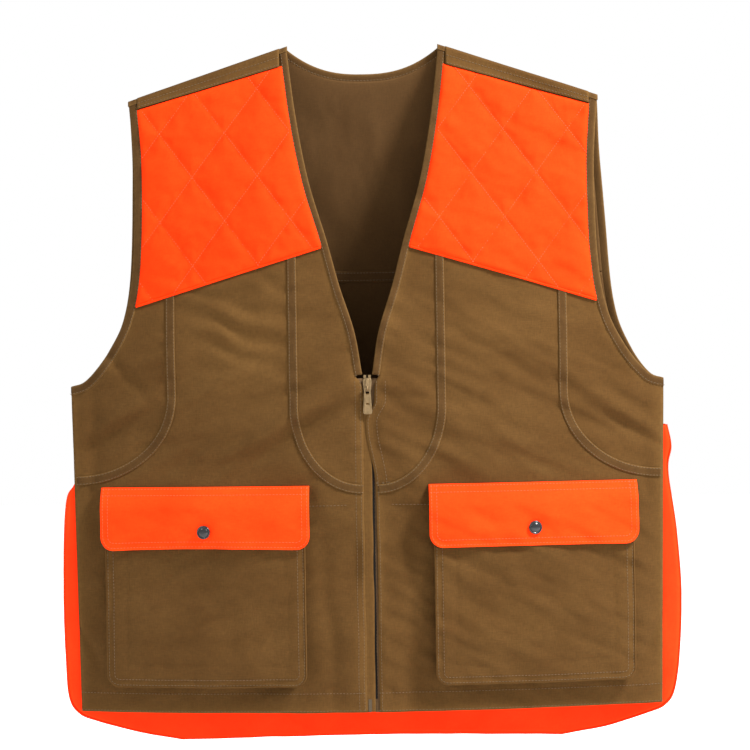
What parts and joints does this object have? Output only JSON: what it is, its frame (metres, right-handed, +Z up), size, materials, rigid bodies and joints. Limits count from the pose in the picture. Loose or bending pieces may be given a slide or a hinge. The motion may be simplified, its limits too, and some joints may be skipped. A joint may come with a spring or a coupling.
{
  "type": "hunting vest",
  "caption": "Brown canvas hunting vest with quilted orange shoulder patches, front zip, flap pockets with snaps and an orange game bag behind.",
  "frame": {"origin": "on the hanger line, midway between the two neck points", "axes": "+Z up, front towards -Y, +X to the wearer's left"},
  "size_m": [0.642, 0.1403, 0.7153],
  "materials": {
    "canvas_brown": "washed cotton canvas",
    "binding_brown": "folded cotton binding",
    "quilted_orange": "quilted blaze orange cloth",
    "flap_orange": "blaze orange cloth",
    "bag_orange": "smooth coated blaze orange cloth",
    "zip_black": "moulded black",
    "snap_black": "gloss black",
    "brass": "antique"
  },
  "bodies": {
    "shell": {"back_hem": "binding_brown", "back_lower_panel": "canvas_brown", "back_yoke_panel": "canvas_brown", "back_yoke_seam_tape": "binding_brown", "game_bag_gusset": "bag_orange", "game_bag_liner": "bag_orange", "left_armhole_binding": "binding_brown", "left_bib_tape_upper": "binding_brown", "left_front_upper_panel": "canvas_brown", "left_shoulder_patch": "quilted_orange", "left_shoulder_strip": "canvas_brown", "left_side_tape_upper": "binding_brown", "neck_binding": "binding_brown", "right_armhole_binding": "binding_brown", "right_bib_tape_upper": "binding_brown", "right_front_upper_panel": "canvas_brown", "right_shoulder_patch": "quilted_orange", "right_shoulder_strip": "canvas_brown", "right_side_tape_upper": "binding_brown"},
    "right_front": {"right_bib_tape_lower": "binding_brown", "right_front_facing": "canvas_brown", "right_front_hem": "binding_brown", "right_front_lower_panel": "canvas_brown", "right_pocket_front": "canvas_brown", "right_pocket_gusset": "canvas_brown", "right_side_tape_lower": "binding_brown", "right_snap_stud": "brass", "right_zip_tape": "zip_black", "right_zip_teeth": "zip_black", "right_zip_top_stop": "brass", "zip_retaining_box": "brass"},
    "left_front": {"left_bib_tape_lower": "binding_brown", "left_front_facing": "canvas_brown", "left_front_hem": "binding_brown", "left_front_lower_panel": "canvas_brown", "left_pocket_front": "canvas_brown", "left_pocket_gusset": "canvas_brown", "left_side_tape_lower": "binding_brown", "left_snap_stud": "brass", "left_zip_tape": "zip_black", "left_zip_teeth": "zip_black", "left_zip_top_stop": "brass", "zip_insertion_pin": "brass"},
    "right_flap": {"right_pocket_flap": "flap_orange", "right_snap_cap": "snap_black", "right_snap_socket": "brass"},
    "left_flap": {"left_pocket_flap": "flap_orange", "left_snap_cap": "snap_black", "left_snap_socket": "brass"},
    "zip_slider": {"zip_slider": "brass"},
    "zip_pull": {"zip_pull": "brass"},
    "game_bag": {"game_bag_back": "bag_orange", "game_bag_top_binding": "binding_brown"}
  },
  "joints": [
    {"name": "right_front_swing", "type": "hinge", "parent": "shell", "child": "right_front", "pos_m": [-0.305, 0, -0.5], "axis": [0, 0, 1], "range_deg": [-80, 0], "stiffness_Nm_per_rad": 0.4},
    {"name": "right_flap_lift", "type": "hinge", "parent": "right_front", "child": "right_flap", "pos_m": [-0.1675, -0.03476, -0.448], "axis": [-0.9868, 0.1619, 0], "range_deg": [0, 135]},
    {"name": "left_front_swing", "type": "hinge", "parent": "shell", "child": "left_front", "pos_m": [0.305, 0, -0.5], "axis": [0, 0, 1], "range_deg": [0, 80], "stiffness_Nm_per_rad": 0.4},
    {"name": "left_flap_lift", "type": "hinge", "parent": "left_front", "child": "left_flap", "pos_m": [0.1675, -0.03476, -0.448], "axis": [-0.9868, -0.1619, 0], "range_deg": [0, 135]},
    {"name": "zip_slide", "type": "slide", "parent": "right_front", "child": "zip_slider", "axis": [0, 0, -1], "range_m": [0, 0.3]},
    {"name": "zip_pull_swing", "type": "hinge", "parent": "zip_slider", "child": "zip_pull", "pos_m": [0, -0.0499, -0.3502], "axis": [-1, 0, 0], "range_deg": [0, 170]},
    {"name": "game_bag_open", "type": "hinge", "parent": "shell", "child": "game_bag", "pos_m": [0, 0.062, -0.713], "axis": [-1, 0, 0], "range_deg": [0, 8], "stiffness_Nm_per_rad": 2, "springref_deg": -11.46}
  ],
  "couplings": [
    {"joint": "left_front_swing", "follows": "right_front_swing", "ratio": -1}
  ]
}
